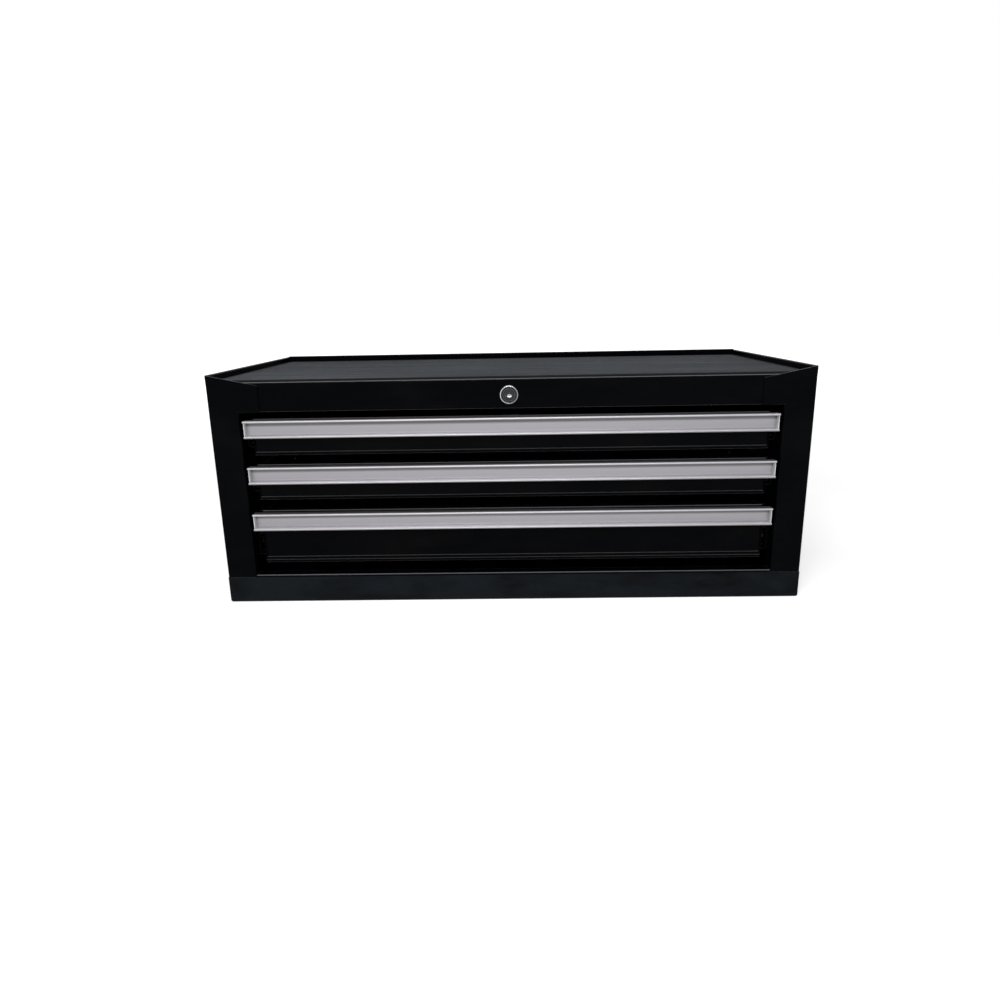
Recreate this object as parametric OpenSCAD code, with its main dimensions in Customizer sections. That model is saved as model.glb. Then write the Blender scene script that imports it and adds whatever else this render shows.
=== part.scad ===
// Three-drawer steel tool chest with ball-bearing slides and a central lock.
// Millimetres. +X is to the right, +Y to the back and +Z up. The origin is on the floor,
// under the middle of the whole chest, with the drawer pulls counted in its depth.

/* [Cabinet] */
// Width over the side panels
body_w = 670; // [600:1:760]
// Depth from the front posts to the back, without the pulls
body_d = 309; // [300:1:360]
// Height to the top of the side lips
body_h = 268; // [264:1:300]
// Thickness of the steel sheet
sheet_t = 1; // [0.8:0.1:1.2]
// Width of a front post
post_w = 34; // [30:1:40]
// Depth of the flange that turns in behind a front post
post_return = 40; // [36:1:48]
// Width of the gusset that laps over the end of the top rail
gusset_w = 57.5; // [48:0.5:70]
// How far the slanted top edge of a gusset falls
gusset_drop = 12; // [8:0.5:14]
// Height of the lips round the tray, from the tray sheet up
lip_h = 9.5; // [8:0.5:14]
// How far the back lip stands above the side lips
back_lip_rise = 1; // [0:0.5:3]
// Space inside a folded hem
hem_gap = 0.6; // [0.6:0.1:1]
// Height of the top rail over the drawers
rail_h = 33; // [31:0.5:38]
// Depth of the top rail's upper flange
rail_lip = 8; // [6:0.5:12]
// Depth of the top rail's lower flange
rail_shelf = 26; // [24:0.5:30]
// Height of the base rail between the posts
base_h = 34; // [30:0.5:38]
// How far the posts reach down beside the base rail
post_lap = 2.5; // [1.5:0.5:4]
// Radius of the bottom corners
base_r = 3; // [2.5:0.5:5]
// Width of the flange at the back of a side panel
rear_flange = 15; // [12:1:20]

/* [Tray] */
// Depth of the flange that turns down round the tray
tray_flange = 12; // [8:1:14]
// Thickness of the mat under its ribs
mat_t = 1.4; // [1:0.1:2]
// Height of the mat's ribs
rib_h = 1.2; // [0.8:0.1:2]
// Distance from rib to rib
rib_pitch = 6; // [5:0.5:9]
// Width of a rib's top
rib_w = 2.6; // [2:0.1:3.4]
// Space round the mat
mat_gap = 0.5; // [0.3:0.1:1]

/* [Drawers] */
// Space between a drawer front and a post
side_gap = 9.6; // [8:0.1:11]
// Space between the top rail and the first drawer front
gap_top = 8.3; // [6:0.1:10]
// Space between the first and second drawer fronts
gap_12 = 10.2; // [8:0.1:13]
// Space between the second and third drawer fronts
gap_23 = 12.2; // [8:0.1:14]
// Space between the third drawer front and the base rail
gap_base = 11.7; // [8:0.1:14]
// Height of each of the two small drawer fronts
small_front_h = 42.2; // [41:0.1:48]
// How far the drawer fronts lie behind the posts
front_setback = 6; // [4:0.5:8]
// Depth of a drawer front from its face to the box behind it
front_depth = 12; // [10:0.5:15]
// Height of the step along the bottom of a drawer front
step_h = 4.8; // [4:0.1:6]
// Width of the step down each side of a drawer front
side_step = 4.2; // [4.2:0.1:6]
// How far each step lies back
step_in = 2.6; // [2:0.1:3]
// Height by which the box is lower than its front, at top and bottom
box_inset = 3; // [2:0.5:4]
// Space between the box and the back panel
rear_space = 29; // [28:0.5:36]
// Height of the hem folded down inside the rim of a box
rim_h = 8; // [6:0.5:12]
// Thickness of the mat in a drawer
liner_t = 2; // [1:0.5:3]

/* [Pulls] */
// Height of a pull
pull_h = 19.5; // [17:0.5:22]
// How far a pull reaches past each side of its drawer front
pull_over = 2.6; // [0:0.1:4]
// How far the pulls stand in front of the posts
pull_out = 12; // [10:0.5:15]
// Depth of the finger channel
channel_d = 9; // [8:0.5:10]
// Thickness of the pull's lips
lip_t = 1.8; // [1.4:0.1:2.2]
// Thickness of the pull's other walls
web_t = 1.5; // [1.2:0.1:1.8]
// Radius of the bead along each lip
bead_r = 1.1; // [1:0.1:1.4]
// Thickness of an end cap
cap_t = 0.8; // [0.6:0.1:1.5]

/* [Slides] */
// Length of a ball cage: a drawer travels by the slide's length less this and 4 mm
cage_l = 56; // [50:1:90]
// Height of a slide
slide_h = 27; // [25:0.5:29]
// Thickness of a slide, from its mounting face to the box
slide_t = 12; // [12:0.1:13]
// Thickness of the slide's rolled members
member_t = 1.2; // [1:0.1:1.4]
// Ball diameter
ball_d = 4; // [3.6:0.1:4]
// Clearance round a ball in its tracks
ball_run = 0.1; // [0.08:0.01:0.15]
// Balls in one row
balls = 6; // [4:1:8]
// Distance from the box to the middle of the balls
ball_inset = 5.5; // [5.3:0.1:5.7]
// Height of the slide's middle above the bottom of the box
slide_rise = 18; // [17:0.5:19]

/* [Lock] */
// Diameter of the lock's front ring
ring_d = 21; // [20.5:0.5:24]
// Diameter of the threaded barrel
barrel_d = 18.8; // [17:0.2:19.4]
// Diameter of the plug that turns
plug_d = 13; // [11:0.5:14]
// Depth of the lock's middle below the top of the rail
lock_drop = 17.8; // [17:0.1:19]
// Size across the flats of the nut
nut_af = 24; // [23:0.5:25]
// Diameter of the lock rod
rod_d = 5; // [4:0.5:6]
// Radius of the crank at the end of the rod
crank_r = 8; // [7:0.5:8]
// Diameter of the crank pin
pin_d = 4; // [3.5:0.5:4.5]
// Width of the lock bar
bar_w = 20; // [16:1:24]
// Thickness of the lock bar
bar_t = 2; // [1.5:0.5:2.5]

/* [Hidden] */
$fn = 48;

paint = "#17181b";
paint_base = "#24272c";
alloy = "#c6c6ca";
zinc = "#aeb2b6";
mat_grey = "#6f7276";
slide_steel = "#45484c";
chrome = "#e4e5e7";
cap_grey = "#8f9093";

// Small distances that have no size of their own to follow
fold_r = 1;        // inside radius of a fold in the sheet
fold_steps = 4;    // flats that make up one fold
fit = 0.2;         // space between pieces that are put together
run_fit = 0.05;    // clearance round a turning shaft
cut = 1;           // how far a cutting shape reaches past what it cuts

// Cabinet
half_w = body_w / 2;
front_y = (pull_out - body_d) / 2;
back_y = front_y + body_d;
back_inner = back_y - 2 * sheet_t;
inner_x = half_w - sheet_t;
opening_x = half_w - post_w;
post_bottom = base_h - post_lap;
tray_top = body_h - lip_h;
tray_bottom = tray_top - sheet_t;
rail_top = tray_top + sheet_t;
rail_bottom = rail_top - rail_h;
rail_y = front_y + sheet_t;
hem_w = 2 * sheet_t + hem_gap;
base_return = 14;
base_lap = 12;
rail_hook = 6;
tray_set = 2;

// Drawers, from the top down
front_half = opening_x - side_gap;
face_y = front_y + front_setback;
box_y0 = face_y + front_depth;
box_y1 = back_inner - rear_space;
box_half = opening_x - slide_t;
box_r = 3;
front_top = [
    rail_bottom - gap_top,
    rail_bottom - gap_top - small_front_h - gap_12,
    rail_bottom - gap_top - 2 * small_front_h - gap_12 - gap_23
];
front_bottom = [
    front_top[0] - small_front_h,
    front_top[1] - small_front_h,
    base_h + gap_base
];
front_steps = [1, 1, 2];
function box_top(k) = front_top[k] - box_inset;
function box_bottom(k) = front_bottom[k] + box_inset;
front_turn = box_inset + 5;
window_r = 2.5;
step_slope = 0.6;  // fall of a step's sloping face for each millimetre that it lies back

// Pulls
pull_y = front_y - pull_out;
channel_y = pull_y + channel_d;
pull_half = front_half + pull_over;
function pull_bottom(k) = front_top[k] - pull_h;
pull_screws = [-230, -80, 80, 230];
bead_flats = 10;

// Slides
slide_y0 = box_y0 + 2;
slide_y1 = box_y1 - 8;
ball_r = ball_d / 2;
ball_x = box_half + ball_inset;
ball_z = slide_h / 2 - member_t - ball_run - ball_r;
track_lip = 1;
cage_t = 0.8;
cage_gap = 0.7;
cage_leg = 0.7;
pocket_run = 0.15;
cage_y0 = (slide_y0 + slide_y1 - cage_l) / 2;
cage_y1 = cage_y0 + cage_l;
cage_x = opening_x - member_t - cage_gap - cage_t / 2;
ball_margin = 4;
ball_pitch = (cage_y1 - cage_y0 - 2 * ball_margin) / (balls - 1);
rivet_r = 2;
rivet_head_r = 3.2;
rivet_head_h = 1;
screw_tip = 1;
screw_head_h = 2;
fixed_rivets = [slide_y0 + 12, slide_y1 - 20];
drawer_rivets = [slide_y0 + 30, (slide_y0 + slide_y1) / 2, slide_y1 - 30];
function slide_z(k) = box_bottom(k) + slide_rise;

// Rear uprights
upright_y = fixed_rivets[1] + 12;
upright_flange = 22;
upright_foot = 15;

// Lock
lock_z = rail_top - lock_drop;
ring_t = 2.5;
barrel_y = rail_y + 22;
plug_tail = 6;
tail_y = barrel_y + 10;
nut_t = 5;
rest_angle = -45;
lift = 2 * crank_r * sin(-rest_angle);
bar_y = back_inner - 2 - bar_t;
crank_t = 2.5;
crank_y = bar_y - 2 - crank_t;
pin_x = crank_r * cos(rest_angle);
pin_z = lock_z + crank_r * sin(rest_angle);
pin_play = 0.4;
catch_t = 1.2;
catch_half = 15;
catch_lip = 9;
catch_foot = 12;
catch_gap = 2.3;
catch_run = 2;
finger_reach = 13;
finger_t = 2;
finger_h = 10;
finger_half = 6;
finger_y = bar_y - finger_reach;
catch_y = finger_y + finger_t + catch_gap;
function catch_top(k) = box_top(k) - 1;
function finger_top(k) = catch_top(k) - catch_t - catch_run - lift;
bar_run = 0.35;
bar_wall = 4;
guide_t = 1.2;
guide_h = 10;
guide_ear = 9;
guide_upper_z = finger_top(0) + lift + 2;
guide_lower_z = finger_top(2) + lift + 8;
support_y = box_y1 - 6;
support_t = 1.5;
support_half = 12;
support_foot = 14;
support_drop = 8;
key_half = 3.6;
key_h = 1.2;
key_depth = 8;
ring_bevel = 0.8;

// --- Sheet metal ---------------------------------------------------------------------

function unit(v) = v / norm(v);
function left_of(v) = [-v[1], v[0]];
function turned(v, a) = [v[0] * cos(a) - v[1] * sin(a), v[0] * sin(a) + v[1] * cos(a)];
function bend(a, b) = atan2(a[0] * b[1] - a[1] * b[0], a * b);
function back_to_front(list) = [for (i = [len(list) - 1 : -1 : 0]) list[i]];

// One face of a folded sheet. p holds the corners of its middle line, r is the inside
// radius of the folds, and side is 1 for the face on the left of the line or -1.
function fold_side(p, t, r, side) = [
    for (i = [0 : len(p) - 1])
        let (
            d0 = unit(p[max(i, 1)] - p[max(i, 1) - 1]),
            d1 = unit(p[min(i + 1, len(p) - 1)] - p[min(i, len(p) - 2)]),
            a = bend(d0, d1),
            way = sign(a),
            rc = r + t / 2,
            centre = p[i] - d0 * rc * tan(abs(a) / 2) + left_of(d0) * rc * way
        )
        each abs(a) < 1
            ? [p[i] + left_of(d0) * side * t / 2]
            : [for (k = [0 : fold_steps])
                centre - way * turned(left_of(d0), a * k / fold_steps) * (rc - side * way * t / 2)]
];

module folded(p, t = sheet_t, r = fold_r) {
    polygon(concat(fold_side(p, t, r, 1), back_to_front(fold_side(p, t, r, -1))));
}

// The points of a rectangle with rounded corners, each a quarter turn of small flats
function soft_rect(x, y, r) = [
    for (c = [[x[1] - r, y[0] + r, -90], [x[1] - r, y[1] - r, 0],
              [x[0] + r, y[1] - r, 90], [x[0] + r, y[0] + r, 180]])
        for (k = [0 : fold_steps])
            [c[0], c[1]] + turned([r, 0], c[2] + 90 * k / fold_steps)
];

function arc(c, r, a0, a1, n) = [for (i = [0 : n]) c + turned([r, 0], a0 + (a1 - a0) * i / n)];

module along_x(x0, x1) {
    translate([x0, 0, 0]) rotate([90, 0, 90]) linear_extrude(x1 - x0) children();
}

module along_y(y0, y1) {
    translate([0, y1, 0]) rotate([90, 0, 0]) linear_extrude(y1 - y0) children();
}

module along_z(z0, z1) {
    translate([0, 0, z0]) linear_extrude(z1 - z0) children();
}

module block(x, y, z) {
    translate([x[0], y[0], z[0]]) cube([x[1] - x[0], y[1] - y[0], z[1] - z[0]]);
}

module on_both_sides() {
    children();
    mirror([1, 0, 0]) children();
}

module pin_x(x0, x1, y, z, r) {
    translate([x0, y, z]) rotate([0, 90, 0]) cylinder(r = r, h = x1 - x0);
}

module pin_y(y0, y1, x, z, r) {
    translate([x, y1, z]) rotate([90, 0, 0]) cylinder(r = r, h = y1 - y0);
}

// --- Cabinet -------------------------------------------------------------------------

// The right-hand panel: post, wall and rear flange in one sheet, with the gusset and the
// hemmed lip above and a lap that goes down inside the base pan
module side_panel() {
    wall = half_w - sheet_t / 2;
    post_y = front_y + sheet_t / 2;
    rear_y = back_y - sheet_t / 2;
    difference() {
        along_z(post_bottom, rail_bottom) folded([
            [opening_x + sheet_t / 2, front_y + post_return],
            [opening_x + sheet_t / 2, post_y], [wall, post_y], [wall, rear_y],
            [half_w - rear_flange, rear_y]
        ]);
        rivet_holes(fixed_rivets[0]);
    }
    difference() {
        along_z(rail_bottom, body_h) folded([
            [half_w - gusset_w, post_y], [wall, post_y], [wall, rear_y],
            [half_w - rear_flange, rear_y]
        ]);
        gusset_slant();
    }
    along_y(rail_y + fit, back_inner - sheet_t - hem_gap - fit) folded([
        [wall, rail_top + fit], [wall, body_h - sheet_t / 2],
        [wall - sheet_t - hem_gap, body_h - sheet_t / 2],
        [wall - sheet_t - hem_gap, rail_top + fit]
    ], r = hem_gap / 2);
    along_y(front_y + base_r, back_inner - fit) polygon([
        [inner_x - sheet_t, post_bottom - base_lap], [inner_x, post_bottom - base_lap],
        [inner_x, post_bottom], [inner_x + sheet_t / 2, post_bottom],
        [inner_x + sheet_t / 2, post_bottom + 2 * sheet_t],
        [inner_x - sheet_t, post_bottom + 2 * sheet_t]
    ]);
}

// The holes for the slide rivets in the sheet beside the drawer opening
module rivet_holes(y) {
    for (k = [0 : 2]) {
        pin_x(opening_x - cut, opening_x + sheet_t + cut, y, slide_z(k), rivet_r + run_fit);
    }
}

// What the gusset loses above its slanted top edge
module gusset_slant() {
    inner_end = half_w - gusset_w - cut;
    slope = gusset_drop / gusset_w;
    along_y(front_y - cut, rail_y) polygon([
        [half_w, body_h], [half_w, body_h + cut], [inner_end, body_h + cut],
        [inner_end, body_h - slope * (gusset_w + cut)]
    ]);
}

module left_side_panel() {
    color(paint) mirror([1, 0, 0]) side_panel();
}

module right_side_panel() {
    color(paint) side_panel();
}

module back_panel() {
    mid_y = back_inner + sheet_t / 2;
    lip_top = body_h + back_lip_rise - sheet_t / 2;
    leg_y = mid_y - sheet_t - hem_gap;
    color(paint) along_x(-inner_x + fold_r, inner_x - fold_r) folded([
        [mid_y, post_bottom - base_lap], [mid_y, lip_top], [leg_y, lip_top],
        [leg_y, rail_top + fit]
    ], r = hem_gap / 2);
}

module top_tray() {
    mid_z = tray_top - sheet_t / 2;
    flange_z = tray_bottom - tray_flange;
    flange_x = inner_x - sheet_t / 2;
    flange_y0 = rail_y + rail_shelf + tray_set;
    color(paint) union() {
        block([-inner_x, inner_x], [rail_y + sheet_t + fold_r + fit, flange_y0 + sheet_t],
              [tray_bottom, tray_top]);
        along_y(flange_y0, back_inner - 2 * sheet_t) folded([
            [-flange_x, flange_z], [-flange_x, mid_z], [flange_x, mid_z], [flange_x, flange_z]
        ]);
        along_x(-inner_x + 3 * sheet_t, inner_x - 3 * sheet_t) folded([
            [flange_y0 + cut, mid_z], [back_inner - sheet_t / 2, mid_z],
            [back_inner - sheet_t / 2, flange_z]
        ]);
    }
}

module tray_mat() {
    mat_half = half_w - hem_w - mat_gap;
    y0 = rail_y + rail_lip + mat_gap;
    y1 = back_inner - sheet_t - hem_gap - mat_gap;
    ribs = floor((y1 - y0 - rib_pitch) / rib_pitch);
    rib_y0 = (y0 + y1 - ribs * rib_pitch) / 2;
    base_z = tray_top + mat_t;
    slope = rib_h / 2;
    color(mat_grey) along_x(-mat_half, mat_half) polygon(concat(
        [[y0, tray_top], [y0, base_z]],
        [for (i = [0 : ribs], c = [[-1, 0], [-1, 1], [1, 1], [1, 0]])
            [rib_y0 + i * rib_pitch + c[0] * (rib_w / 2 + (1 - c[1]) * slope),
             base_z + c[1] * rib_h]],
        [[y1, base_z], [y1, tray_top]]
    ));
}

module front_top_rail() {
    mid_y = rail_y + sheet_t / 2;
    color(paint) difference() {
        along_x(-inner_x + fold_r, inner_x - fold_r) folded([
            [rail_y + rail_lip, rail_top - sheet_t / 2], [mid_y, rail_top - sheet_t / 2],
            [mid_y, rail_bottom + sheet_t / 2], [rail_y + rail_shelf, rail_bottom + sheet_t / 2],
            [rail_y + rail_shelf, rail_bottom + rail_hook]
        ]);
        pin_y(rail_y - cut, rail_y + sheet_t + cut, 0, lock_z, barrel_d / 2 + fit);
    }
}

// A shallow pan whose front wall rises between the posts as the base rail
module base_pan() {
    mid_y = front_y + sheet_t / 2;
    color(paint_base) union() {
        difference() {
            base_solid(0);
            base_solid(sheet_t);
        }
        along_x(-opening_x, opening_x) folded([
            [front_y + base_return, base_h - sheet_t / 2], [mid_y, base_h - sheet_t / 2],
            [mid_y, post_bottom - base_lap]
        ]);
    }
}

module base_solid(inset) {
    r = base_r - inset;
    tall = post_bottom + (inset > 0 ? base_r + cut : base_r);
    intersection() {
        along_x(-half_w, half_w)
            polygon(soft_rect([front_y + inset, back_y - inset], [inset, tall], r));
        along_y(front_y, back_y)
            polygon(soft_rect([-half_w + inset, half_w - inset], [inset, tall], r));
        block([-half_w, half_w], [front_y, back_y], [0, post_bottom + (inset > 0 ? cut : 0)]);
    }
}

module rear_upright() {
    color(zinc) difference() {
        along_z(post_bottom + 2 * sheet_t + fit, tray_bottom - tray_flange - fit) folded([
            [inner_x - sheet_t / 2, upright_y + upright_foot],
            [inner_x - sheet_t / 2, upright_y],
            [opening_x + sheet_t / 2, upright_y],
            [opening_x + sheet_t / 2, upright_y - upright_flange]
        ]);
        rivet_holes(fixed_rivets[1]);
    }
}

// --- Slides --------------------------------------------------------------------------

// The right-hand outer member, a rolled channel that holds the balls from outside
module outer_member(k) {
    web = opening_x - member_t / 2;
    lip = ball_x - ball_r - ball_run - member_t / 2;
    top = slide_h / 2 - member_t / 2;
    end = slide_h / 2 - member_t - track_lip;
    color(slide_steel) difference() {
        along_y(slide_y0, slide_y1) translate([0, slide_z(k)]) folded([
            [lip, end], [lip, top], [web, top], [web, -top], [lip, -top], [lip, -end]
        ], t = member_t, r = member_t / 2);
        for (y = fixed_rivets) {
            pin_x(opening_x - member_t - cut, opening_x + cut, y, slide_z(k), rivet_r + run_fit);
            rivet_sink(y, slide_z(k), run_fit);
        }
    }
}

// The right-hand inner member, riveted to the box, that rides inside the balls
module inner_member(k) {
    web = box_half + member_t / 2;
    lip = ball_x + ball_r + ball_run + member_t / 2;
    top = ball_z - ball_r - ball_run - member_t / 2;
    end = ball_z - ball_r - ball_run + track_lip;
    color(slide_steel) difference() {
        along_y(slide_y0, slide_y1) translate([0, slide_z(k)]) folded([
            [lip, end], [lip, top], [web, top], [web, -top], [lip, -top], [lip, -end]
        ], t = member_t, r = member_t / 2);
        for (y = drawer_rivets) {
            pin_x(box_half - cut, box_half + member_t + cut, y, slide_z(k), rivet_r + run_fit);
        }
    }
}

// The right-hand cage: a strip with a pocket for each ball
module ball_cage(k) {
    end = ball_x - ball_r - cage_leg;
    color(slide_steel) difference() {
        along_y(cage_y0, cage_y1) translate([0, slide_z(k)]) folded([
            [end, ball_z], [cage_x, ball_z], [cage_x, -ball_z], [end, -ball_z]
        ], t = cage_t, r = 0.5);
        for (i = [0 : balls - 1], side = [-1, 1]) {
            translate([ball_x, cage_y0 + ball_margin + i * ball_pitch, slide_z(k)])
                translate([0, 0, side * ball_z - cage_t])
                    cylinder(r = ball_r + pocket_run, h = 2 * cage_t);
        }
    }
}

module slide_balls(k) {
    color(chrome) on_both_sides() {
        for (i = [0 : balls - 1], side = [-1, 1]) {
            translate([ball_x, cage_y0 + ball_margin + i * ball_pitch, slide_z(k) + side * ball_z])
                sphere(r = ball_r, $fn = 24);
        }
    }
}

// The countersink of a rivet that lies flush in the outer member
module rivet_sink(y, z, gap) {
    depth = member_t * 0.7;
    translate([opening_x - member_t, y, z]) rotate([0, 90, 0])
        cylinder(r1 = rivet_head_r + gap, r2 = rivet_r + gap, h = depth);
}

// Rivets that hold the outer members to the posts and uprights
module slide_rivets() {
    color(zinc) on_both_sides() {
        for (k = [0 : 2], y = fixed_rivets) {
            pin_x(opening_x - member_t, opening_x + sheet_t + rivet_head_h, y, slide_z(k), rivet_r);
            rivet_sink(y, slide_z(k), 0);
            pin_x(opening_x + sheet_t, opening_x + sheet_t + rivet_head_h, y, slide_z(k),
                  rivet_head_r);
        }
    }
}

// --- Drawers -------------------------------------------------------------------------

module box_outline(inset) {
    polygon(soft_rect([-box_half + inset, box_half - inset], [box_y0 + inset, box_y1 - inset],
                      max(box_r - inset, 0.5)));
}

module drawer_box(k) {
    color(paint) difference() {
        along_z(box_bottom(k), box_top(k)) box_outline(0);
        along_z(box_bottom(k) + sheet_t, box_top(k) - rim_h) box_outline(sheet_t);
        along_z(box_bottom(k) + sheet_t, box_top(k) + cut) box_outline(2 * sheet_t);
        for (y = drawer_rivets, side = [-1, 1]) {
            pin_x(side * (box_half - sheet_t / 2) - sheet_t, side * (box_half - sheet_t / 2) + sheet_t,
                  y, slide_z(k), rivet_r + run_fit);
        }
    }
}

// The middle line of a drawer front, from the top flange down the face and the steps to
// the bottom flange. back_reach is how far the flanges go back.
function front_line(k, back_reach) =
    let (
        n = front_steps[k],
        face = face_y + sheet_t / 2,
        top = front_top[k] - sheet_t / 2,
        bottom = front_bottom[k] + sheet_t / 2
    )
    concat(
        [[back_reach, top], [face, top]],
        [for (i = [n : -1 : 1], half = [0, 1])
            [face + (n - i + half) * step_in, bottom + i * step_h - half * step_in * step_slope]],
        [[face + n * step_in, bottom], [back_reach, bottom]]
    );

// The middle line of a drawer front seen from above, from the left flange round the
// stepped sides and the face to the right flange
function front_plan(back_reach) =
    let (
        edge = front_half - sheet_t / 2,
        field = front_half - side_step,
        face = face_y + sheet_t / 2,
        slope = step_in * step_slope
    )
    [
        [-edge, back_reach], [-edge, face + step_in], [-field - slope, face + step_in],
        [-field, face], [field, face], [field + slope, face + step_in],
        [edge, face + step_in], [edge, back_reach]
    ];

module front_solid(k, side, back_reach) {
    intersection() {
        along_x(-front_half - cut, front_half + cut)
            polygon(fold_side(front_line(k, back_reach), sheet_t, fold_r, side));
        along_z(front_bottom[k] - cut, front_top[k] + cut)
            polygon(fold_side(front_plan(back_reach + cut), sheet_t, fold_r, side));
    }
}

// A pan whose edges turn in behind, where they lie on the box
module drawer_front(k) {
    color(paint) difference() {
        front_solid(k, -1, box_y0);
        front_solid(k, 1, box_y0 - sheet_t);
        along_y(box_y0 - sheet_t - cut, box_y0 + cut) polygon(soft_rect(
            [-front_half + front_turn, front_half - front_turn],
            [front_bottom[k] + front_turn, front_top[k] - front_turn], window_r
        ));
        for (x = pull_screws) {
            pin_y(face_y - cut, face_y + sheet_t + cut, x, front_top[k] - pull_h / 2,
                  rivet_r + run_fit);
        }
    }
}

// The extruded pull: a finger channel between two lips, and behind it a trough that is
// open at the top, with the flange that is screwed to the drawer front
module drawer_pull(k) {
    top = front_top[k];
    bottom = pull_bottom(k);
    lip_angle = asin((lip_t - bead_r) / bead_r);
    flange_top = top - pull_h / 2 + rivet_head_r + web_t;
    color(alloy) difference() {
        along_x(-pull_half, pull_half) polygon(concat(
            [[face_y, bottom], [face_y, flange_top], [face_y - web_t, flange_top],
             [face_y - web_t, bottom + web_t], [channel_y + web_t, bottom + web_t],
             [channel_y + web_t, top]],
            arc([pull_y + bead_r, top - bead_r], bead_r, 90, 360 - lip_angle, bead_flats),
            [[channel_y, top - lip_t], [channel_y, bottom + lip_t]],
            arc([pull_y + bead_r, bottom + bead_r], bead_r, lip_angle, 270, bead_flats)
        ));
        for (x = pull_screws) {
            pin_y(face_y - web_t - cut, face_y + cut, x, top - pull_h / 2, rivet_r + run_fit);
        }
    }
}

module drawer_pull_caps(k) {
    color(cap_grey) on_both_sides()
        block([pull_half - cap_t, pull_half], [pull_y + 2 * bead_r + fit, channel_y],
              [pull_bottom(k) + lip_t, front_top[k] - lip_t]);
}

module drawer_liner(k) {
    color(mat_grey) along_z(box_bottom(k) + sheet_t, box_bottom(k) + sheet_t + liner_t)
        box_outline(sheet_t + 1);
}

// The hook on the back of a box that the lock bar's finger rises behind
module drawer_catch(k) {
    top = catch_top(k) - catch_t / 2;
    color(zinc) along_x(-catch_half, catch_half) folded([
        [box_y1 + catch_t / 2, top - catch_foot], [box_y1 + catch_t / 2, top],
        [catch_y + catch_t / 2, top], [catch_y + catch_t / 2, catch_top(k) - catch_lip]
    ], t = catch_t, r = 0.8);
}

// Rivets of the inner members and screws of the pull
module drawer_fasteners(k) {
    color(zinc) {
        on_both_sides() {
            for (y = drawer_rivets) {
                inside = box_half - sheet_t;
                outside = box_half + member_t;
                pin_x(inside - rivet_head_h, outside + rivet_head_h, y, slide_z(k), rivet_r);
                pin_x(inside - rivet_head_h, inside, y, slide_z(k), rivet_head_r);
                pin_x(outside, outside + rivet_head_h, y, slide_z(k), rivet_head_r);
            }
        }
        for (x = pull_screws) {
            z = front_top[k] - pull_h / 2;
            pin_y(face_y - web_t - screw_tip, face_y + sheet_t + screw_head_h, x, z, rivet_r);
            pin_y(face_y + sheet_t, face_y + sheet_t + screw_head_h, x, z, rivet_head_r);
        }
    }
}

// --- Lock ----------------------------------------------------------------------------

// Turns a shape drawn round Z so that its Z runs along +Y from y0, on the lock's axis
module on_lock_axis(y0) {
    translate([0, y0, lock_z]) rotate([-90, 0, 0]) children();
}

module lock_housing() {
    r = ring_d / 2;
    bore = plug_d / 2 + run_fit;
    reach = ring_t + barrel_y - rail_y;
    color(chrome) on_lock_axis(rail_y - ring_t) rotate_extrude() polygon([
        [bore, ring_bevel], [r - 2.5 * ring_bevel, ring_bevel], [r - 2 * ring_bevel, 0],
        [r - ring_bevel, 0], [r, 1.5 * ring_bevel], [r, ring_t], [barrel_d / 2, ring_t],
        [barrel_d / 2, reach], [bore, reach]
    ]);
}

module lock_nut() {
    color(zinc) on_lock_axis(rail_y + sheet_t) difference() {
        cylinder(r = nut_af / 2 / cos(30), h = nut_t, $fn = 6);
        translate([0, 0, -cut]) cylinder(r = barrel_d / 2 + run_fit, h = nut_t + 2 * cut);
    }
}

// The plug, with its keyway in front and a square tail that turns the rod
module lock_plug() {
    front = rail_y - ring_t + ring_bevel - 0.3;
    color(chrome) difference() {
        union() {
            pin_y(front, barrel_y + 1, 0, lock_z, plug_d / 2);
            block([-plug_tail / 2, plug_tail / 2], [barrel_y, tail_y],
                  [lock_z - plug_tail / 2, lock_z + plug_tail / 2]);
        }
        block([-key_half, key_half], [front - cut, front + key_depth],
              [lock_z - key_h / 2, lock_z + key_h / 2]);
        block([-key_half / 2, key_half / 2], [front - cut, front + key_depth],
              [lock_z - key_h, lock_z + key_h]);
    }
}

// The rod from the plug to the back, with a socket in front and a crank behind
module lock_rod() {
    socket = plug_tail / 2 + run_fit;
    color(zinc) difference() {
        union() {
            pin_y(barrel_y + 1 + fit, tail_y + 4, 0, lock_z, plug_tail);
            pin_y(tail_y, crank_y + crank_t, 0, lock_z, rod_d / 2);
            along_y(crank_y, crank_y + crank_t) crank_outline();
            pin_y(crank_y, bar_y + bar_t + 0.6, pin_x, pin_z, pin_d / 2);
        }
        block([-socket, socket], [barrel_y, tail_y + fit], [lock_z - socket, lock_z + socket]);
    }
}

module crank_outline() {
    across = turned([pin_d / 2 + 2, 0], rest_angle + 90);
    centre = [0, lock_z];
    end = [pin_x, pin_z];
    translate(centre) circle(r = pin_d / 2 + 2);
    translate(end) circle(r = pin_d / 2 + 2);
    polygon([centre + across, centre - across, end - across, end + across]);
}

module rod_support() {
    mid_y = support_y + support_t / 2;
    mid_z = tray_bottom - support_t / 2;
    color(zinc) difference() {
        along_x(-support_half, support_half) folded([
            [support_y + support_foot, mid_z], [mid_y, mid_z], [mid_y, lock_z - support_drop]
        ], t = support_t);
        pin_y(support_y - cut, support_y + support_t + cut, 0, lock_z, rod_d / 2 + run_fit);
    }
}

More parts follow.
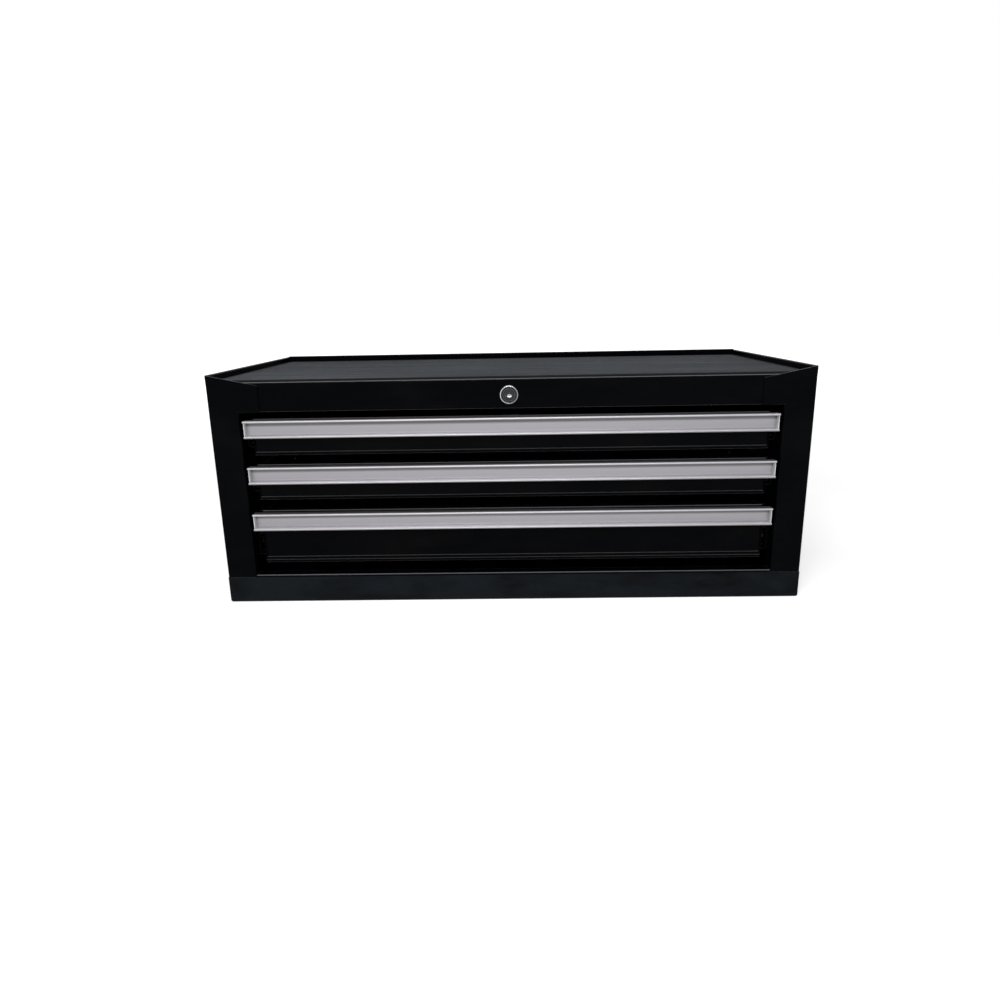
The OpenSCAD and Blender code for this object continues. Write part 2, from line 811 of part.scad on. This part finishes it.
// A flat bar with a slotted ear at the top and a finger for each drawer
module lock_bar() {
    slot_h = pin_d / 2 + pin_play;
    bar_bottom = finger_top(2) - finger_h - bar_wall;
    bar_top = pin_z + slot_h + bar_wall - 1;
    color(zinc) difference() {
        union() {
            block([-bar_w / 2, bar_w / 2], [bar_y, bar_y + bar_t],
                  [bar_bottom, bar_top]);
            block([0, crank_r + slot_h + bar_wall], [bar_y, bar_y + bar_t],
                  [pin_z - slot_h - bar_wall, bar_top]);
            for (k = [0 : 2]) {
                top = finger_top(k);
                along_x(-finger_half, finger_half) folded([
                    [finger_y + finger_t / 2, top],
                    [finger_y + finger_t / 2, top - finger_h + finger_t / 2],
                    [bar_y + bar_t / 2, top - finger_h + finger_t / 2]
                ], t = finger_t, r = 0.8);
            }
        }
        along_y(bar_y - cut, bar_y + bar_t + cut) {
            translate([pin_x, pin_z]) circle(r = slot_h);
            translate([crank_r, pin_z]) circle(r = slot_h);
            translate([pin_x, pin_z - slot_h]) square([crank_r - pin_x, 2 * slot_h]);
        }
    }
}

// A strap on the back panel that the lock bar slides behind
module bar_guide(z0) {
    leg = bar_w / 2 + bar_run + guide_t / 2;
    strap = bar_y - bar_run - guide_t / 2;
    foot = back_inner - guide_t / 2;
    color(zinc) along_z(z0, z0 + guide_h) folded([
        [-leg - guide_ear, foot], [-leg, foot], [-leg, strap], [leg, strap], [leg, foot],
        [leg + guide_ear, foot]
    ], t = guide_t, r = guide_t / 4);
}

left_side_panel();
right_side_panel();
back_panel();
top_tray();
tray_mat();
front_top_rail();
base_pan();
mirror([1, 0, 0]) rear_upright();  // rear_upright_left
rear_upright();  // rear_upright_right
mirror([1, 0, 0]) outer_member(0);  // slide_outer_1_left
outer_member(0);  // slide_outer_1_right
mirror([1, 0, 0]) outer_member(1);  // slide_outer_2_left
outer_member(1);  // slide_outer_2_right
mirror([1, 0, 0]) outer_member(2);  // slide_outer_3_left
outer_member(2);  // slide_outer_3_right
slide_rivets();
lock_housing();
lock_nut();
bar_guide(guide_upper_z);  // bar_guide_upper
bar_guide(guide_lower_z);  // bar_guide_lower
rod_support();
mirror([1, 0, 0]) ball_cage(0);  // ball_cage_1_left
ball_cage(0);  // ball_cage_1_right
mirror([1, 0, 0]) ball_cage(1);  // ball_cage_2_left
ball_cage(1);  // ball_cage_2_right
mirror([1, 0, 0]) ball_cage(2);  // ball_cage_3_left
ball_cage(2);  // ball_cage_3_right
slide_balls(0);  // slide_balls_1
slide_balls(1);  // slide_balls_2
slide_balls(2);  // slide_balls_3
drawer_box(0);  // drawer_1_box
drawer_box(1);  // drawer_2_box
drawer_box(2);  // drawer_3_box
drawer_front(0);  // drawer_1_front
drawer_front(1);  // drawer_2_front
drawer_front(2);  // drawer_3_front
drawer_pull(0);  // drawer_1_pull
drawer_pull(1);  // drawer_2_pull
drawer_pull(2);  // drawer_3_pull
drawer_pull_caps(0);  // drawer_1_pull_caps
drawer_pull_caps(1);  // drawer_2_pull_caps
drawer_pull_caps(2);  // drawer_3_pull_caps
mirror([1, 0, 0]) inner_member(0);  // slide_inner_1_left
inner_member(0);  // slide_inner_1_right
mirror([1, 0, 0]) inner_member(1);  // slide_inner_2_left
inner_member(1);  // slide_inner_2_right
mirror([1, 0, 0]) inner_member(2);  // slide_inner_3_left
inner_member(2);  // slide_inner_3_right
drawer_liner(0);  // drawer_1_liner
drawer_liner(1);  // drawer_2_liner
drawer_liner(2);  // drawer_3_liner
drawer_catch(0);  // drawer_1_catch
drawer_catch(1);  // drawer_2_catch
drawer_catch(2);  // drawer_3_catch
drawer_fasteners(0);  // drawer_1_fasteners
drawer_fasteners(1);  // drawer_2_fasteners
drawer_fasteners(2);  // drawer_3_fasteners
lock_plug();
lock_rod();
lock_bar();
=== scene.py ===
"""Finishes, lights and photographs a steel tool chest with three drawers.

The chest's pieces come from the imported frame, in metres, with X to the right, Y to the
back and Z up. This file gives each piece its finish and adds the studio.
"""

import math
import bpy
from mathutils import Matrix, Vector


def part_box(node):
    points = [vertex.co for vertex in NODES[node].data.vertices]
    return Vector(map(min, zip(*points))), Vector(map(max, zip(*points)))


bl_info = {
    "name": "Tool Chest Finisher",
    "version": (1, 0, 0),
    "blender": (4, 5, 0),
    "location": "3D View > Sidebar > Tool Chest",
    "description": "Paints and lights a three-drawer steel tool chest",
    "category": "Material",
}

import bpy
from bpy.props import FloatProperty, FloatVectorProperty, PointerProperty
from mathutils import Matrix, Vector

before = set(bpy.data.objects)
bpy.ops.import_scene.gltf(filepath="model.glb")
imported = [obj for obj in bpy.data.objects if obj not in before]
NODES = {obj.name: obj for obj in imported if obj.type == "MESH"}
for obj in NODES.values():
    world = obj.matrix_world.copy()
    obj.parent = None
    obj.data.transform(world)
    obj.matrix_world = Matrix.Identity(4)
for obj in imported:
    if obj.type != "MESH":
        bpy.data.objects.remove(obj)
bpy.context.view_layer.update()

MM = 0.001
DRAWERS = (1, 2, 3)
SIDES = ("left", "right")

# The front posts end here, and the base pan below them has its own tone.
POST_FOOT = 31.5 * MM
# Thickness of a pull's lips, and how far behind its front its web begins.
PULL_LIP = 2.8 * MM
PULL_WEB = 5 * MM
# Width of the rim of the lock's housing, and of the border round the mats' tops that is painted
# dark as shade.
LOCK_RIM = 1.2 * MM
MAT_BORDER = 5 * MM


# --- Sizes and colours that a user would change -----------------------------------------


def colour(name, description, default):
    """A colour property in linear RGB."""
    return FloatVectorProperty(
        name=name, description=description, subtype="COLOR", size=3, min=0, max=1, default=default
    )


def length(name, description, default):
    """A length property in metres."""
    return FloatProperty(
        name=name, description=description, subtype="DISTANCE", unit="LENGTH", default=default
    )


def factor(name, description, default):
    """A property between 0 and 1."""
    return FloatProperty(
        name=name, description=description, subtype="FACTOR", min=0, max=1, default=default
    )


class PaintSettings(bpy.types.PropertyGroup):
    """Enamel on the sheet steel."""

    body: colour("Body", "Enamel of the cabinet and the drawers", (0.0004, 0.0006, 0.0011))
    base: colour("Base", "Enamel of the base pan", (0.0068, 0.0086, 0.0105))
    # The fold colour is a painted highlight along the crests of folds and edges.
    fold: colour("Fold", "Painted highlight along the folds", (0.085, 0.087, 0.091))
    film: colour("Film", "Thin film of dust on the enamel", (0.0016, 0.0017, 0.0019))
    gloss: factor("Roughness", "Roughness of the enamel", 0.11)
    specular: factor("Specular", "Strength of the enamel's reflection", 0.02)
    peel: length("Peel", "Size of the waves in the enamel", 2.2 * MM)


class MetalSettings(bpy.types.PropertyGroup):
    """Bare and plated metal."""

    pull: colour("Pull", "Satin aluminium of the pulls", (0.29, 0.284, 0.299))
    # This colour is painted shade on the rear of the pulls' tops.
    top_shade: colour("Shading", "Grime on top of the pulls", (0.004, 0.004, 0.005))
    zinc: colour("Zinc", "Plating of rivets, uprights and linkage", (0.52, 0.54, 0.55))
    slide: colour("Slide", "Dark plating of the slides", (0.012, 0.0125, 0.014))
    chrome: colour("Chrome", "Plating of the lock's rim and the balls", (0.7, 0.7, 0.71))
    nickel: colour("Nickel", "Dark plating of the lock's face and plug", (0.02, 0.021, 0.022))


class MatSettings(bpy.types.PropertyGroup):
    """Rubber and plastic."""

    rubber: colour("Rubber", "Rubber of the mats", (0.052, 0.058, 0.066))
    caps: colour("Caps", "Plastic of the pulls' end caps", (0.5, 0.5, 0.51))


class StudioSettings(bpy.types.PropertyGroup):
    """Camera, floor and lamps."""

    lens: length("Lens", "Focal length on a 36 mm sensor", 25.83 * MM)
    distance: length("Distance", "How far the camera stands in front of the middle", 0.93934)
    height: length("Height", "Height of the camera above the floor", 0.33398)
    floor: colour("Floor", "Colour of the floor", (0.8, 0.8, 0.8))
    glow: factor("Glow", "Light of its own that makes the floor look white", 0.38)
    sky: FloatProperty(
        name="Sky", description="Strength of the light from all round", min=0, default=0.4
    )
    front: FloatProperty(
        name="Front", description="Power of the lamp behind the camera", min=0, default=15.0
    )
    key: FloatProperty(
        name="Key", description="Power of the long lamp above the front", min=0, default=20.0
    )


PROPERTY_GROUPS = {
    "chest_paint": PaintSettings,
    "chest_metal": MetalSettings,
    "chest_mats": MatSettings,
    "chest_studio": StudioSettings,
}


# --- Shader building --------------------------------------------------------------------


class Wire:
    """An output socket. Arithmetic on it adds Math nodes."""

    def __init__(self, nodes, socket):
        self.nodes, self.socket = nodes, socket

    def maths(self, operation, *values, clamp=False):
        return self.nodes.add(
            "ShaderNodeMath", {"operation": operation, "use_clamp": clamp}, dict(enumerate(values))
        )

    def __add__(self, other):
        return self.maths("ADD", self, other)

    __radd__ = __add__

    def __sub__(self, other):
        return self.maths("SUBTRACT", self, other)

    def __rsub__(self, other):
        return self.maths("SUBTRACT", other, self)

    def __mul__(self, other):
        return self.maths("MULTIPLY", self, other)

    __rmul__ = __mul__

    def __truediv__(self, other):
        return self.maths("DIVIDE", self, other)

    def clamped(self):
        return self.maths("ADD", self, 0.0, clamp=True)

    def above(self, edge, soft):
        """0 below the edge and 1 above it, over a soft step."""
        return ((self - (edge - soft)) / (2 * soft)).clamped()


class Nodes:
    """The nodes of a material or of the sky, and the shader that they feed."""

    def __init__(self, owner, shader):
        owner.use_nodes = True
        self.tree = owner.node_tree
        self.shader = self.tree.nodes[shader]

    def feed(self, socket, value):
        """Sets or links one input of the shader."""
        self.give(self.shader.inputs[socket], value)

    def give(self, socket, value):
        """Sets or links one input of a node."""
        if isinstance(value, Wire):
            self.tree.links.new(value.socket, socket)
        elif socket.type == "RGBA" and len(value) == 3:
            socket.default_value = (*value, 1.0)
        else:
            socket.default_value = value

    def add(self, kind, settings=None, inputs=None, output=0):
        """Adds a node, with its settings first and then the values or links of its sockets."""
        node = self.tree.nodes.new(kind)
        for key, value in (settings or {}).items():
            setattr(node, key, value)
        for key, value in (inputs or {}).items():
            self.give(node.inputs[key], value)
        return Wire(self, node.outputs[output])

    def mix(self, low, high, share):
        """A colour between two others."""
        return self.add(
            "ShaderNodeMix", {"data_type": "RGBA"}, {0: share, 6: low, 7: high}, output=2
        )

    def seen(self):
        """1 where the surface is seen directly, in a reflection or through glass."""
        rays = [self.add("ShaderNodeLightPath", output="Is %s Ray" % kind)
                for kind in ("Camera", "Glossy", "Transmission")]
        return (rays[0] + rays[1] + rays[2]).clamped()


class Finish(Nodes):
    """A material with one Principled shader."""

    def __init__(self, name, **fixed):
        self.material = bpy.data.materials.new(name)
        super().__init__(self.material, "Principled BSDF")
        for socket, value in fixed.items():
            self.feed(socket.replace("_", " ").title().replace("Ior", "IOR"), value)

    def place(self, stretch=(1, 1, 1)):
        """The place on the piece in metres, stretched along the axes."""
        where = self.add("ShaderNodeTexCoord", output="Object")
        return self.add(
            "ShaderNodeVectorMath", {"operation": "MULTIPLY"}, {0: where, 1: stretch}
        )

    def noise(self, size, detail=2.0, stretch=(1, 1, 1), roughness=0.5):
        """Noise from 0 to 1 with features of about that size in metres."""
        return self.add(
            "ShaderNodeTexNoise",
            {"noise_dimensions": "3D"},
            {"Vector": self.place(stretch), "Scale": 1 / size, "Detail": detail,
             "Roughness": roughness},
            output="Fac",
        )

    def soft_edges(self, radius):
        """Normals that round every sharp edge over that radius."""
        return self.add("ShaderNodeBevel", {"samples": 4}, {"Radius": radius})

    def edge_highlight(self, edges, gain):
        """1 where the rounded normals leave the flat ones, along sharp edges."""
        along = self.add(
            "ShaderNodeVectorMath", {"operation": "DOT_PRODUCT"},
            {0: edges, 1: self.flat_normal()}, output="Value",
        )
        return ((1 - along) * gain).clamped()

    def flat_normal(self):
        """The normal of the bare face."""
        return self.add("ShaderNodeNewGeometry", output="True Normal")

    def rise(self, normal):
        """How far a normal points up, from -1 to 1."""
        return self.add("ShaderNodeSeparateXYZ", None, {0: normal}, output="Z")

    def folded(self, edges):
        """1 along the crest of a level fold or edge, between its face and its flange."""
        rise = self.rise(edges)
        slope = rise.maths("ABSOLUTE", rise)
        return slope.above(0.68, 0.14) * (1 - slope.above(0.985, 0.012))

    def from_axis(self, centre, stretch=(1, 0, 1)):
        """Distance in metres from an axis that runs along Y through the centre, stretched
        along X and Z."""
        offset = self.add(
            "ShaderNodeVectorMath", {"operation": "SUBTRACT"}, {0: self.place(), 1: centre}
        )
        flat = self.add(
            "ShaderNodeVectorMath", {"operation": "MULTIPLY"}, {0: offset, 1: stretch}
        )
        return self.add(
            "ShaderNodeVectorMath", {"operation": "LENGTH"}, {0: flat}, output="Value"
        )

    def along(self, axis):
        """The place along one axis in metres."""
        return self.add("ShaderNodeSeparateXYZ", None, {0: self.place()}, output=axis)

    def overhang(self, low, high):
        """Distance in metres beyond a box seen from above, below 0 inside it."""
        beyond = []
        for axis, letter in enumerate("XY"):
            middle, half = (low[axis] + high[axis]) / 2, (high[axis] - low[axis]) / 2
            off = self.along(letter) - middle
            beyond.append(off.maths("ABSOLUTE", off) - half)
        return beyond[0].maths("MAXIMUM", *beyond)

    def bump(self, height, depth, edges=None):
        """Normals of a height in metres over the rounded edges."""
        inputs = {"Height": height, "Distance": depth, "Strength": 1.0}
        if edges is not None:
            inputs["Normal"] = edges
        return self.add("ShaderNodeBump", None, inputs)


def tinted(tone, amount):
    """The colour made lighter or darker."""
    return tuple(min(1.0, channel * amount) for channel in tone)


def enamel(name, tone, settings, upper=None, height=None):
    """Gloss enamel with a faint peel, a thin film of dust and a painted highlight along the
    crests of its folds, and if asked for another tone above a height in metres."""
    finish = Finish(name, metallic=0.0, specular_ior_level=settings.specular)
    cloud = finish.noise(0.09, detail=3)
    smear = finish.noise(0.02, detail=4, stretch=(0.35, 1, 1), roughness=0.6)
    marks = smear.above(0.6, 0.12)
    edges = finish.soft_edges(0.7 * MM)
    film = (cloud * smear * 4.0 - 0.7).clamped()
    coat = finish.mix(tone, settings.film, film)
    if upper is not None:
        coat = finish.mix(coat, upper, finish.along("Z").above(height, 0.3 * MM))
    # Painted highlight: the fold colour along the crests of folds and edges.
    finish.feed("Base Color", finish.mix(coat, settings.fold, finish.folded(edges)))
    finish.feed("Roughness", settings.gloss + 0.04 * cloud + 0.04 * marks)
    peel = finish.noise(settings.peel, detail=1)
    finish.feed("Normal", finish.bump(peel, 0.012 * MM, edges))
    return finish.material


def satin_alloy(name, metal, pull):
    """Anodised extruded aluminium with die lines along its length, and painted light: painted
    shade on the rear of its top, a painted shadow under its upper lip, painted highlights on
    its upper lip, the low part of its web and the inside of its lower lip, and painted shade
    on the lower lip's other faces."""
    finish = Finish(name, specular_ior_level=0.5)
    low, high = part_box(pull)
    lines = finish.noise(0.5 * MM, detail=3, stretch=(0.006, 1, 1))
    cloud = finish.noise(0.05, detail=2)
    depth = finish.along("Y") - low[1]
    height = finish.along("Z") - low[2]
    tall = high[2] - low[2]
    upward = finish.rise(finish.flat_normal()).above(0.6, 0.2)
    inside = depth.above(PULL_WEB, 1.0 * MM)
    upper_lip = height.above(tall - PULL_LIP, 0.3 * MM)
    lower_lip = 1 - height.above(PULL_LIP, 0.3 * MM)
    # Painted shade: the dark colour on the rear of the pull's top.
    shaded_top = upward * upper_lip * depth.above(2.6 * MM, 0.5 * MM)
    # Painted shadow of the upper lip on the web below it.
    shadow_under_lip = inside * height.above(tall - 6.6 * MM, 1.3 * MM)
    # Painted highlight on the lower part of the web.
    lit_low_web = inside * (1 - height.above(4.6 * MM, 1.5 * MM))
    # Painted light in the tone: a shadow under the upper lip, highlights on the upper lip, the low
    # web and the up-facing inside of the lower lip, and shade on the lower lip's other faces.
    shade = (0.86 + 0.22 * lines) * (
        1 - 0.55 * shadow_under_lip + 0.3 * upper_lip + 0.2 * lit_low_web
        + lower_lip * (0.9 * upward - 0.3 * (1 - upward))
    )
    face = finish.mix((0, 0, 0), tinted(metal.pull, 2), 0.5 * shade)
    finish.feed("Base Color", finish.mix(face, metal.top_shade, shaded_top))
    finish.feed("Roughness", 0.3 + 0.1 * lines + 0.08 * cloud + 0.5 * shaded_top)
    finish.feed("Metallic", 0.5 - 0.5 * shaded_top)
    finish.feed("Normal", finish.bump(lines, 0.012 * MM, finish.soft_edges(0.35 * MM)))
    return finish.material


def plated(name, tone, roughness, grain):
    """Plated steel with a fine grain and faint stains."""
    finish = Finish(name, metallic=1.0)
    cloud = finish.noise(0.012, detail=4)
    fine = finish.noise(grain, detail=2, stretch=(1, 0.12, 1))
    finish.feed("Base Color", finish.mix(tinted(tone, 0.8), tinted(tone, 1.1), cloud))
    finish.feed("Roughness", roughness + 0.12 * roughness * cloud + 0.1 * roughness * fine)
    finish.feed("Normal", finish.bump(fine, 0.006 * MM, finish.soft_edges(0.25 * MM)))
    return finish.material


def lock_face(name, metal):
    """Dark nickel inside a bright chrome rim, with turned rings, a painted highlight along sharp
    edges, painted shade over the rim away from its upper left, and a painted highlight in a
    patch under the keyway."""
    finish = Finish(name, metallic=1.0)
    low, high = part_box("lock_housing")
    centre = Vector((a + b) / 2 for a, b in zip(low, high))
    reach = finish.from_axis(centre)
    rim = reach.above((high[0] - low[0]) / 2 - LOCK_RIM, 0.25 * MM)
    # Painted highlight in a patch just under the keyway.
    spot = finish.from_axis(centre + Vector((0.4 * MM, 0, -1.5 * MM)), (0.6, 0, 1.2))
    keyway_highlight = 1 - spot.above(1.3 * MM, 0.4 * MM)
    # Painted shade: the chrome rim darker away from its upper left.
    shaded_side = finish.from_axis(centre + Vector((-7 * MM, 0, 7 * MM))).above(14 * MM, 6 * MM)
    edges = finish.soft_edges(0.3 * MM)
    turned = reach * (2 * math.pi / (2.1 * MM))
    rings = 0.5 + 0.5 * turned.maths("SINE", turned)
    face = finish.mix(tinted(metal.nickel, 0.35), tinted(metal.nickel, 2.3), rings)
    # Painted highlight along the sharp edges of the lock's face.
    face = finish.mix(face, tinted(metal.chrome, 0.5), finish.edge_highlight(edges, 4.0))
    face = finish.mix(face, tinted(metal.chrome, 1.4), keyway_highlight)
    chrome = finish.mix(tinted(metal.chrome, 1.2), tinted(metal.chrome, 0.4), shaded_side)
    finish.feed("Base Color", finish.mix(face, chrome, rim))
    finish.feed("Roughness", 0.3 - 0.16 * rim + 0.08 * rings)
    finish.feed("Normal", finish.bump(rings, 0.006 * MM, edges))
    return finish.material


def ribbed_rubber(name, tone, sample, streaks):
    """Matt rubber with streaks of dust along its ribs, and painted shade on its sides and round
    the border of its top. The sample is one of its pieces, and streaks sets their strength
    from 0 to 1."""
    finish = Finish(name, metallic=0.0, specular_ior_level=0.06)
    streak = finish.noise(7 * MM, detail=5, stretch=(0.025, 1, 1), roughness=0.7)
    cloud = finish.noise(0.12, detail=3)
    grit = finish.noise(0.6 * MM, detail=2)
    dust = (4.6 * (0.8 * streak + 0.2 * cloud) - 1.8).clamped()
    lies = finish.rise(finish.flat_normal()).above(0.6, 0.2)
    inner = 1 - finish.overhang(*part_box(sample)).above(-MAT_BORDER, 0.6 * MM)
    top = finish.mix(tinted(tone, 1 - 0.45 * streaks), tinted(tone, 1 + 0.65 * streaks), dust)
    # Painted shade: the sides and the border of the top nearly black.
    finish.feed("Base Color", finish.mix(tinted(tone, 0.1), top, lies * inner))
    finish.feed("Roughness", 0.55 + 0.2 * cloud)
    finish.feed("Normal", finish.bump(grit, 0.03 * MM, finish.soft_edges(0.4 * MM)))
    return finish.material


def moulded_plastic(name, tone):
    """Matt moulded plastic with a fine grain."""
    finish = Finish(name, metallic=0.0, specular_ior_level=0.4)
    grain = finish.noise(0.4 * MM, detail=2)
    cloud = finish.noise(0.01, detail=2)
    finish.feed("Base Color", finish.mix(tinted(tone, 0.85), tinted(tone, 1.15), cloud))
    finish.feed("Roughness", 0.5 + 0.15 * cloud)
    finish.feed("Normal", finish.bump(grain, 0.02 * MM, finish.soft_edges(0.3 * MM)))
    return finish.material


def dress(material, names):
    """Puts the finish on the CAD pieces of these names."""
    for name in names:
        piece = NODES[name]
        piece.data.materials.clear()
        piece.data.materials.append(material)
        for face in piece.data.polygons:
            face.material_index = 0


def per_drawer(*kinds):
    """The names of one or more kinds of piece in every drawer."""
    return ["drawer_%d_%s" % (drawer, kind) for kind in kinds for drawer in DRAWERS]


def per_slide(kind):
    """The names of one kind of slide piece, on both sides of every drawer."""
    return ["%s_%d_%s" % (kind, drawer, side) for drawer in DRAWERS for side in SIDES]


# --- Pieces -----------------------------------------------------------------------------


class ChestOperator(bpy.types.Operator):
    """Base of the operators."""

    bl_options = {"REGISTER", "UNDO"}


class CHEST_OT_cabinet(ChestOperator):
    """Enamel the cabinet's sheet metal"""

    bl_idname = "chest.cabinet"
    bl_label = "Cabinet"

    def execute(self, context):
        paint = context.scene.chest_paint
        dress(enamel("body_enamel", paint.body, paint),
              ["left_side_panel", "right_side_panel", "back_panel", "top_tray",
               "front_top_rail"])
        dress(enamel("base_enamel", paint.base, paint, paint.body, POST_FOOT), ["base_pan"])
        return {"FINISHED"}


class CHEST_OT_drawers(ChestOperator):
    """Enamel the drawer boxes and fronts"""

    bl_idname = "chest.drawers"
    bl_label = "Drawers"

    def execute(self, context):
        paint = context.scene.chest_paint
        dress(enamel("drawer_enamel", paint.body, paint), per_drawer("box", "front"))
        return {"FINISHED"}


class CHEST_OT_pulls(ChestOperator):
    """Finish the channel pulls and their caps"""

    bl_idname = "chest.pulls"
    bl_label = "Pulls"

    def execute(self, context):
        metal = context.scene.chest_metal
        for pull in per_drawer("pull"):
            dress(satin_alloy(pull + "_alloy", metal, pull), [pull])
        dress(moulded_plastic("cap_plastic", context.scene.chest_mats.caps),
              per_drawer("pull_caps"))
        return {"FINISHED"}


class CHEST_OT_slides(ChestOperator):
    """Plate the slides, their balls and what they are fixed to"""

    bl_idname = "chest.slides"
    bl_label = "Slides"

    def execute(self, context):
        metal = context.scene.chest_metal
        dress(plated("slide_zinc", metal.slide, 0.3, 0.5 * MM),
              per_slide("slide_outer") + per_slide("slide_inner") + per_slide("ball_cage"))
        dress(plated("fixing_zinc", metal.zinc, 0.34, 0.5 * MM),
              ["slide_rivets", "rear_upright_left", "rear_upright_right"]
              + per_drawer("fasteners", "catch"))
        dress(plated("ball_chrome", metal.chrome, 0.12, 0.3 * MM),
              ["slide_balls_%d" % drawer for drawer in DRAWERS])
        return {"FINISHED"}


class CHEST_OT_lock(ChestOperator):
    """Plate the lock and its linkage"""

    bl_idname = "chest.lock"
    bl_label = "Lock"

    def execute(self, context):
        metal = context.scene.chest_metal
        dress(lock_face("lock_plating", metal), ["lock_housing", "lock_plug"])
        dress(plated("linkage_zinc", metal.zinc, 0.38, 0.5 * MM),
              ["lock_nut", "lock_rod", "lock_bar", "rod_support", "bar_guide_upper",
               "bar_guide_lower"])
        return {"FINISHED"}


class CHEST_OT_mats(ChestOperator):
    """Finish the tray's mat and the drawers' liners"""

    bl_idname = "chest.mats"
    bl_label = "Mats"

    def execute(self, context):
        rubber = context.scene.chest_mats.rubber
        dress(ribbed_rubber("mat_rubber", rubber, "tray_mat", 1.0), ["tray_mat"])
        dress(ribbed_rubber("liner_rubber", rubber, "drawer_1_liner", 0.3),
              per_drawer("liner"))
        return {"FINISHED"}


# --- Studio -----------------------------------------------------------------------------

# The camera's turns in radians and its place to the right of the middle.
YAW, PITCH, ROLL = 0.0219, -0.2615, -0.0184
CAMERA_X = 5.308 * MM

# Half the floor's width, and where and how softly it fades to white.
FLOOR_REACH = 6.0
FADE, FADE_SOFT = 1.6, 0.9

# Each lamp's place and size, and the point that both face.
KEY_PLACE, KEY_SIZE = (-0.2, -0.9, 1.7), (1.6, 0.06)
FRONT_PLACE, FRONT_SIZE = (-0.1, -1.5, 0.9), (0.9, 0.2)
TARGET = (0, 0, 0.15)


def add_camera(studio):
    """The camera at the photograph's place and angle."""
    data = bpy.data.cameras.new("camera")
    data.sensor_width = 36
    data.lens = studio.lens / MM
    data.clip_start, data.clip_end = 0.01, 50
    camera = bpy.data.objects.new("camera", data)
    turn = (Matrix.Rotation(YAW, 4, "Z") @ Matrix.Rotation(PITCH, 4, "X")
            @ Matrix.Rotation(math.pi / 2, 4, "X") @ Matrix.Rotation(ROLL, 4, "Z"))
    camera.matrix_world = Matrix.Translation(
        (CAMERA_X, -studio.distance, studio.height)) @ turn
    bpy.context.scene.collection.objects.link(camera)
    bpy.context.scene.camera = camera


def add_lamp(name, place, size, power):
    """A rectangular lamp that faces the chest."""
    data = bpy.data.lights.new(name, "AREA")
    data.shape, data.size, data.size_y = "RECTANGLE", size[0], size[1]
    data.energy = power
    lamp = bpy.data.objects.new(name, data)
    lamp.location = place
    lamp.rotation_euler = (Vector(TARGET) - Vector(place)).to_track_quat("-Z", "Y").to_euler()
    bpy.context.scene.collection.objects.link(lamp)


def add_floor(tone, glow):
    """A wide pale floor that looks white to the camera and keeps the shadow."""
    mesh = bpy.data.meshes.new("floor")
    corners = [(x * FLOOR_REACH, y * FLOOR_REACH, 0)
               for x, y in ((-1, -1), (1, -1), (1, 1), (-1, 1))]
    mesh.from_pydata(corners, [], [(0, 1, 2, 3)])
    floor = bpy.data.objects.new("floor", mesh)
    bpy.context.scene.collection.objects.link(floor)
    finish = Finish("floor_paper", roughness=0.9, specular_ior_level=0.0)
    finish.feed("Base Color", tone)
    finish.feed("Emission Strength", 1.0)
    out = finish.add(
        "ShaderNodeVectorMath", {"operation": "LENGTH"}, {0: finish.place()}, output="Value"
    )
    light = finish.mix((glow,) * 3, (1, 1, 1), out.above(FADE, FADE_SOFT))
    finish.feed("Emission Color", finish.mix((0, 0, 0), light, finish.seen()))
    floor.data.materials.append(finish.material)


def add_sky(strength):
    """An even sky that is white where it is seen directly or in a reflection."""
    world = bpy.data.worlds.new("studio")
    bpy.context.scene.world = world
    sky = Nodes(world, "Background")
    sky.feed("Color", (1, 1, 1))
    sky.feed("Strength", strength + (1 - strength) * sky.seen())


class CHEST_OT_studio(ChestOperator):
    """Set up the camera, the floor and the lamps"""

    bl_idname = "chest.studio"
    bl_label = "Studio"

    def execute(self, context):
        studio = context.scene.chest_studio
        context.scene.view_settings.view_transform = "Standard"
        add_camera(studio)
        add_floor(studio.floor, studio.glow)
        add_sky(studio.sky)
        add_lamp("key_lamp", KEY_PLACE, KEY_SIZE, studio.key)
        add_lamp("front_lamp", FRONT_PLACE, FRONT_SIZE, studio.front)
        return {"FINISHED"}


class CHEST_PT_panel(bpy.types.Panel):
    """Lists the operators and their settings"""

    bl_label = "Tool Chest"
    bl_idname = "CHEST_PT_panel"
    bl_space_type = "VIEW_3D"
    bl_region_type = "UI"
    bl_category = "Tool Chest"

    def draw(self, context):
        for operator in OPERATORS:
            self.layout.operator(operator.bl_idname)
        for name, group in PROPERTY_GROUPS.items():
            settings = getattr(context.scene, name)
            for prop in group.__annotations__:
                self.layout.prop(settings, prop)


OPERATORS = (
    CHEST_OT_studio, CHEST_OT_cabinet, CHEST_OT_drawers, CHEST_OT_pulls, CHEST_OT_slides,
    CHEST_OT_lock, CHEST_OT_mats,
)
CLASSES = (*PROPERTY_GROUPS.values(), *OPERATORS, CHEST_PT_panel)


def register():
    for cls in CLASSES:
        bpy.utils.register_class(cls)
    for name, group in PROPERTY_GROUPS.items():
        setattr(bpy.types.Scene, name, PointerProperty(type=group))


def unregister():
    for name in PROPERTY_GROUPS:
        delattr(bpy.types.Scene, name)
    for cls in reversed(CLASSES):
        bpy.utils.unregister_class(cls)


def main():
    register()
    for operator in OPERATORS:
        group, name = operator.bl_idname.split(".")
        getattr(getattr(bpy.ops, group), name)()


if __name__ == "__main__":
    main()
